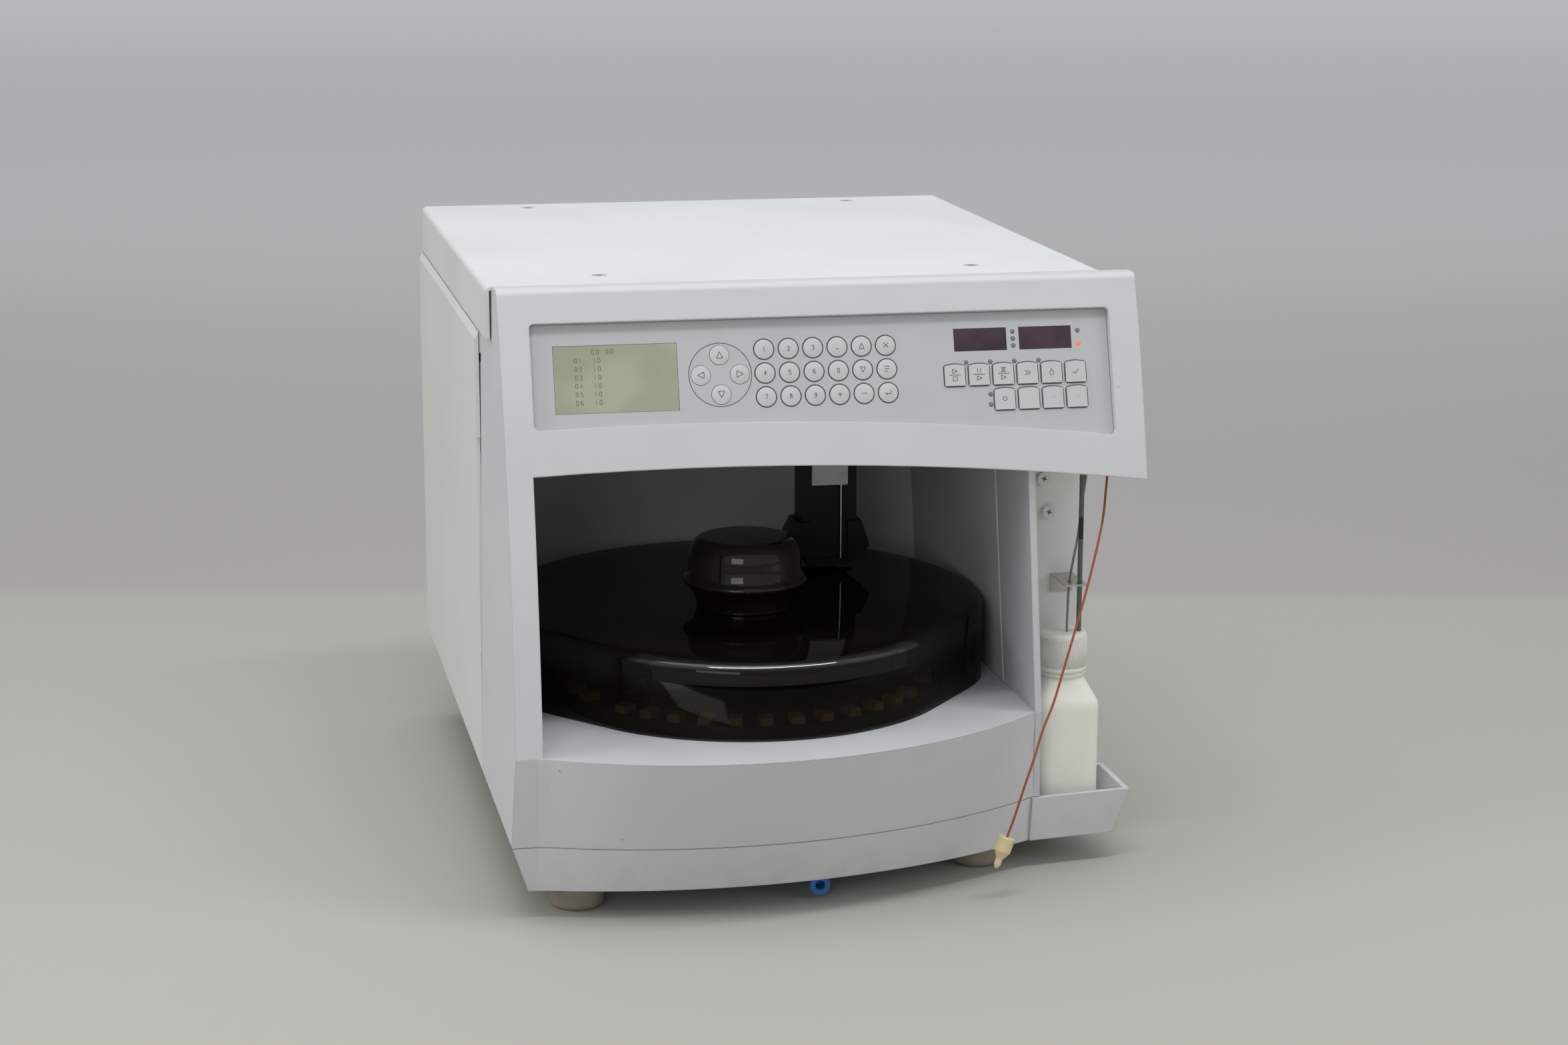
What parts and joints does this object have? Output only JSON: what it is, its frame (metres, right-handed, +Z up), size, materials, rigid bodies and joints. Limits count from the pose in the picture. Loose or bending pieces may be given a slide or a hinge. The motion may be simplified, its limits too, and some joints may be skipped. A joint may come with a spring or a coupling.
{
  "type": "hplc autosampler",
  "caption": "Bench autosampler: moulded housing with a keypad head over an open bay, a smoked lift-off cover on a turning vial carousel, a needle arm, wash bottle and tubing.",
  "frame": {"origin": "on the table, under the middle of the object's box", "axes": "+X to the right seen from the front, +Y to the back, +Z up"},
  "size_m": [0.42, 0.528, 0.392],
  "materials": {
    "housing_plastic": "satin",
    "overlay": "satin",
    "display": "gloss",
    "top_paint": "fine texture",
    "side_paint": "fine texture",
    "sheet_metal": "satin",
    "foot_rubber": "matte",
    "liner_plastic": "satin",
    "motor_metal": "satin",
    "hub_metal": "satin",
    "rack_plastic": "satin",
    "arm_black": "satin",
    "slider_white": "satin",
    "rod_steel": "ground",
    "needle_steel": "polished",
    "bottle_plastic": "translucent",
    "cap_plastic": "satin",
    "wash_tube": "gloss",
    "clip_steel": "satin",
    "capillary_red": "gloss",
    "fitting_peek": "satin",
    "drain_blue": "satin",
    "screw_steel": "zinc",
    "key_white": "satin",
    "smoked_cover": "polished smoked acrylic",
    "smoked_knob": "polished smoked acrylic"
  },
  "bodies": {
    "housing": {"front_bezel": "housing_plastic", "keypad_overlay": "overlay", "display_board": "display", "top_cover": "top_paint", "left_side_panel": "side_paint", "right_side_panel": "side_paint", "chassis": "sheet_metal", "base_tray": "housing_plastic", "feet": "foot_rubber", "chamber_liner": "liner_plastic", "tray_motor": "motor_metal", "arm_rail": "rod_steel", "wash_bottle": "bottle_plastic", "bottle_cap": "cap_plastic", "wash_tubes": "wash_tube", "tube_clip": "clip_steel", "capillary": "capillary_red", "capillary_fitting": "fitting_peek", "drain_fitting": "drain_blue", "panel_screws": "screw_steel"},
    "arm": {"needle_arm": "arm_black"},
    "carousel": {"carousel_hub": "hub_metal", "tray_segments": "rack_plastic"},
    "cover": {"dome_cover": "smoked_cover", "cover_knob": "smoked_knob"},
    "needle": {"needle_slider": "slider_white", "injection_needle": "needle_steel"},
    "key_round_1_body": {"key_round_1": "key_white"},
    "key_round_2_body": {"key_round_2": "key_white"},
    "key_round_3_body": {"key_round_3": "key_white"},
    "key_round_4_body": {"key_round_4": "key_white"},
    "key_round_5_body": {"key_round_5": "key_white"},
    "key_round_6_body": {"key_round_6": "key_white"},
    "key_round_7_body": {"key_round_7": "key_white"},
    "key_round_8_body": {"key_round_8": "key_white"},
    "key_round_9_body": {"key_round_9": "key_white"},
    "key_round_10_body": {"key_round_10": "key_white"},
    "key_round_11_body": {"key_round_11": "key_white"},
    "key_round_12_body": {"key_round_12": "key_white"},
    "key_round_13_body": {"key_round_13": "key_white"},
    "key_round_14_body": {"key_round_14": "key_white"},
    "key_round_15_body": {"key_round_15": "key_white"},
    "key_round_16_body": {"key_round_16": "key_white"},
    "key_round_17_body": {"key_round_17": "key_white"},
    "key_round_18_body": {"key_round_18": "key_white"},
    "key_arrow_1_body": {"key_arrow_1": "key_white"},
    "key_arrow_2_body": {"key_arrow_2": "key_white"},
    "key_arrow_3_body": {"key_arrow_3": "key_white"},
    "key_arrow_4_body": {"key_arrow_4": "key_white"},
    "key_square_1_body": {"key_square_1": "key_white"},
    "key_square_2_body": {"key_square_2": "key_white"},
    "key_square_3_body": {"key_square_3": "key_white"},
    "key_square_4_body": {"key_square_4": "key_white"},
    "key_square_5_body": {"key_square_5": "key_white"},
    "key_square_6_body": {"key_square_6": "key_white"},
    "key_square_7_body": {"key_square_7": "key_white"},
    "key_square_8_body": {"key_square_8": "key_white"},
    "key_square_9_body": {"key_square_9": "key_white"},
    "key_square_10_body": {"key_square_10": "key_white"}
  },
  "joints": [
    {"name": "arm_travel", "type": "slide", "parent": "housing", "child": "arm", "axis": [0.766, 0.6428, 0], "range_m": [-0.03, 0.004]},
    {"name": "carousel_spin", "type": "hinge", "parent": "housing", "child": "carousel", "pos_m": [-0.031, -0.084, 0.09], "axis": [0, 0, 1], "continuous": true},
    {"name": "cover_lift", "type": "slide", "parent": "housing", "child": "cover", "axis": [0, 0, 1], "range_m": [0, 0.0025]},
    {"name": "needle_drive", "type": "slide", "parent": "arm", "child": "needle", "axis": [0, 0, -1], "range_m": [0, 0.045]},
    {"name": "press_round_1", "type": "slide", "parent": "housing", "child": "key_round_1_body", "axis": [0, 0.9557, -0.2945], "range_m": [0, 0.0005], "stiffness_N_per_m": 500},
    {"name": "press_round_2", "type": "slide", "parent": "housing", "child": "key_round_2_body", "axis": [0, 0.9557, -0.2945], "range_m": [0, 0.0005], "stiffness_N_per_m": 500},
    {"name": "press_round_3", "type": "slide", "parent": "housing", "child": "key_round_3_body", "axis": [0, 0.9557, -0.2945], "range_m": [0, 0.0005], "stiffness_N_per_m": 500},
    {"name": "press_round_4", "type": "slide", "parent": "housing", "child": "key_round_4_body", "axis": [0, 0.9557, -0.2945], "range_m": [0, 0.0005], "stiffness_N_per_m": 500},
    {"name": "press_round_5", "type": "slide", "parent": "housing", "child": "key_round_5_body", "axis": [0, 0.9557, -0.2945], "range_m": [0, 0.0005], "stiffness_N_per_m": 500},
    {"name": "press_round_6", "type": "slide", "parent": "housing", "child": "key_round_6_body", "axis": [0, 0.9557, -0.2945], "range_m": [0, 0.0005], "stiffness_N_per_m": 500},
    {"name": "press_round_7", "type": "slide", "parent": "housing", "child": "key_round_7_body", "axis": [0, 0.9557, -0.2945], "range_m": [0, 0.0005], "stiffness_N_per_m": 500},
    {"name": "press_round_8", "type": "slide", "parent": "housing", "child": "key_round_8_body", "axis": [0, 0.9557, -0.2945], "range_m": [0, 0.0005], "stiffness_N_per_m": 500},
    {"name": "press_round_9", "type": "slide", "parent": "housing", "child": "key_round_9_body", "axis": [0, 0.9557, -0.2945], "range_m": [0, 0.0005], "stiffness_N_per_m": 500},
    {"name": "press_round_10", "type": "slide", "parent": "housing", "child": "key_round_10_body", "axis": [0, 0.9557, -0.2945], "range_m": [0, 0.0005], "stiffness_N_per_m": 500},
    {"name": "press_round_11", "type": "slide", "parent": "housing", "child": "key_round_11_body", "axis": [0, 0.9557, -0.2945], "range_m": [0, 0.0005], "stiffness_N_per_m": 500},
    {"name": "press_round_12", "type": "slide", "parent": "housing", "child": "key_round_12_body", "axis": [0, 0.9557, -0.2945], "range_m": [0, 0.0005], "stiffness_N_per_m": 500},
    {"name": "press_round_13", "type": "slide", "parent": "housing", "child": "key_round_13_body", "axis": [0, 0.9557, -0.2945], "range_m": [0, 0.0005], "stiffness_N_per_m": 500},
    {"name": "press_round_14", "type": "slide", "parent": "housing", "child": "key_round_14_body", "axis": [0, 0.9557, -0.2945], "range_m": [0, 0.0005], "stiffness_N_per_m": 500},
    {"name": "press_round_15", "type": "slide", "parent": "housing", "child": "key_round_15_body", "axis": [0, 0.9557, -0.2945], "range_m": [0, 0.0005], "stiffness_N_per_m": 500},
    {"name": "press_round_16", "type": "slide", "parent": "housing", "child": "key_round_16_body", "axis": [0, 0.9557, -0.2945], "range_m": [0, 0.0005], "stiffness_N_per_m": 500},
    {"name": "press_round_17", "type": "slide", "parent": "housing", "child": "key_round_17_body", "axis": [0, 0.9557, -0.2945], "range_m": [0, 0.0005], "stiffness_N_per_m": 500},
    {"name": "press_round_18", "type": "slide", "parent": "housing", "child": "key_round_18_body", "axis": [0, 0.9557, -0.2945], "range_m": [0, 0.0005], "stiffness_N_per_m": 500},
    {"name": "press_arrow_1", "type": "slide", "parent": "housing", "child": "key_arrow_1_body", "axis": [0, 0.9557, -0.2945], "range_m": [0, 0.0005], "stiffness_N_per_m": 500},
    {"name": "press_arrow_2", "type": "slide", "parent": "housing", "child": "key_arrow_2_body", "axis": [0, 0.9557, -0.2945], "range_m": [0, 0.0005], "stiffness_N_per_m": 500},
    {"name": "press_arrow_3", "type": "slide", "parent": "housing", "child": "key_arrow_3_body", "axis": [0, 0.9557, -0.2945], "range_m": [0, 0.0005], "stiffness_N_per_m": 500},
    {"name": "press_arrow_4", "type": "slide", "parent": "housing", "child": "key_arrow_4_body", "axis": [0, 0.9557, -0.2945], "range_m": [0, 0.0005], "stiffness_N_per_m": 500},
    {"name": "press_square_1", "type": "slide", "parent": "housing", "child": "key_square_1_body", "axis": [0, 0.9557, -0.2945], "range_m": [0, 0.0005], "stiffness_N_per_m": 500},
    {"name": "press_square_2", "type": "slide", "parent": "housing", "child": "key_square_2_body", "axis": [0, 0.9557, -0.2945], "range_m": [0, 0.0005], "stiffness_N_per_m": 500},
    {"name": "press_square_3", "type": "slide", "parent": "housing", "child": "key_square_3_body", "axis": [0, 0.9557, -0.2945], "range_m": [0, 0.0005], "stiffness_N_per_m": 500},
    {"name": "press_square_4", "type": "slide", "parent": "housing", "child": "key_square_4_body", "axis": [0, 0.9557, -0.2945], "range_m": [0, 0.0005], "stiffness_N_per_m": 500},
    {"name": "press_square_5", "type": "slide", "parent": "housing", "child": "key_square_5_body", "axis": [0, 0.9557, -0.2945], "range_m": [0, 0.0005], "stiffness_N_per_m": 500},
    {"name": "press_square_6", "type": "slide", "parent": "housing", "child": "key_square_6_body", "axis": [0, 0.9557, -0.2945], "range_m": [0, 0.0005], "stiffness_N_per_m": 500},
    {"name": "press_square_7", "type": "slide", "parent": "housing", "child": "key_square_7_body", "axis": [0, 0.9557, -0.2945], "range_m": [0, 0.0005], "stiffness_N_per_m": 500},
    {"name": "press_square_8", "type": "slide", "parent": "housing", "child": "key_square_8_body", "axis": [0, 0.9557, -0.2945], "range_m": [0, 0.0005], "stiffness_N_per_m": 500},
    {"name": "press_square_9", "type": "slide", "parent": "housing", "child": "key_square_9_body", "axis": [0, 0.9557, -0.2945], "range_m": [0, 0.0005], "stiffness_N_per_m": 500},
    {"name": "press_square_10", "type": "slide", "parent": "housing", "child": "key_square_10_body", "axis": [0, 0.9557, -0.2945], "range_m": [0, 0.0005], "stiffness_N_per_m": 500}
  ]
}
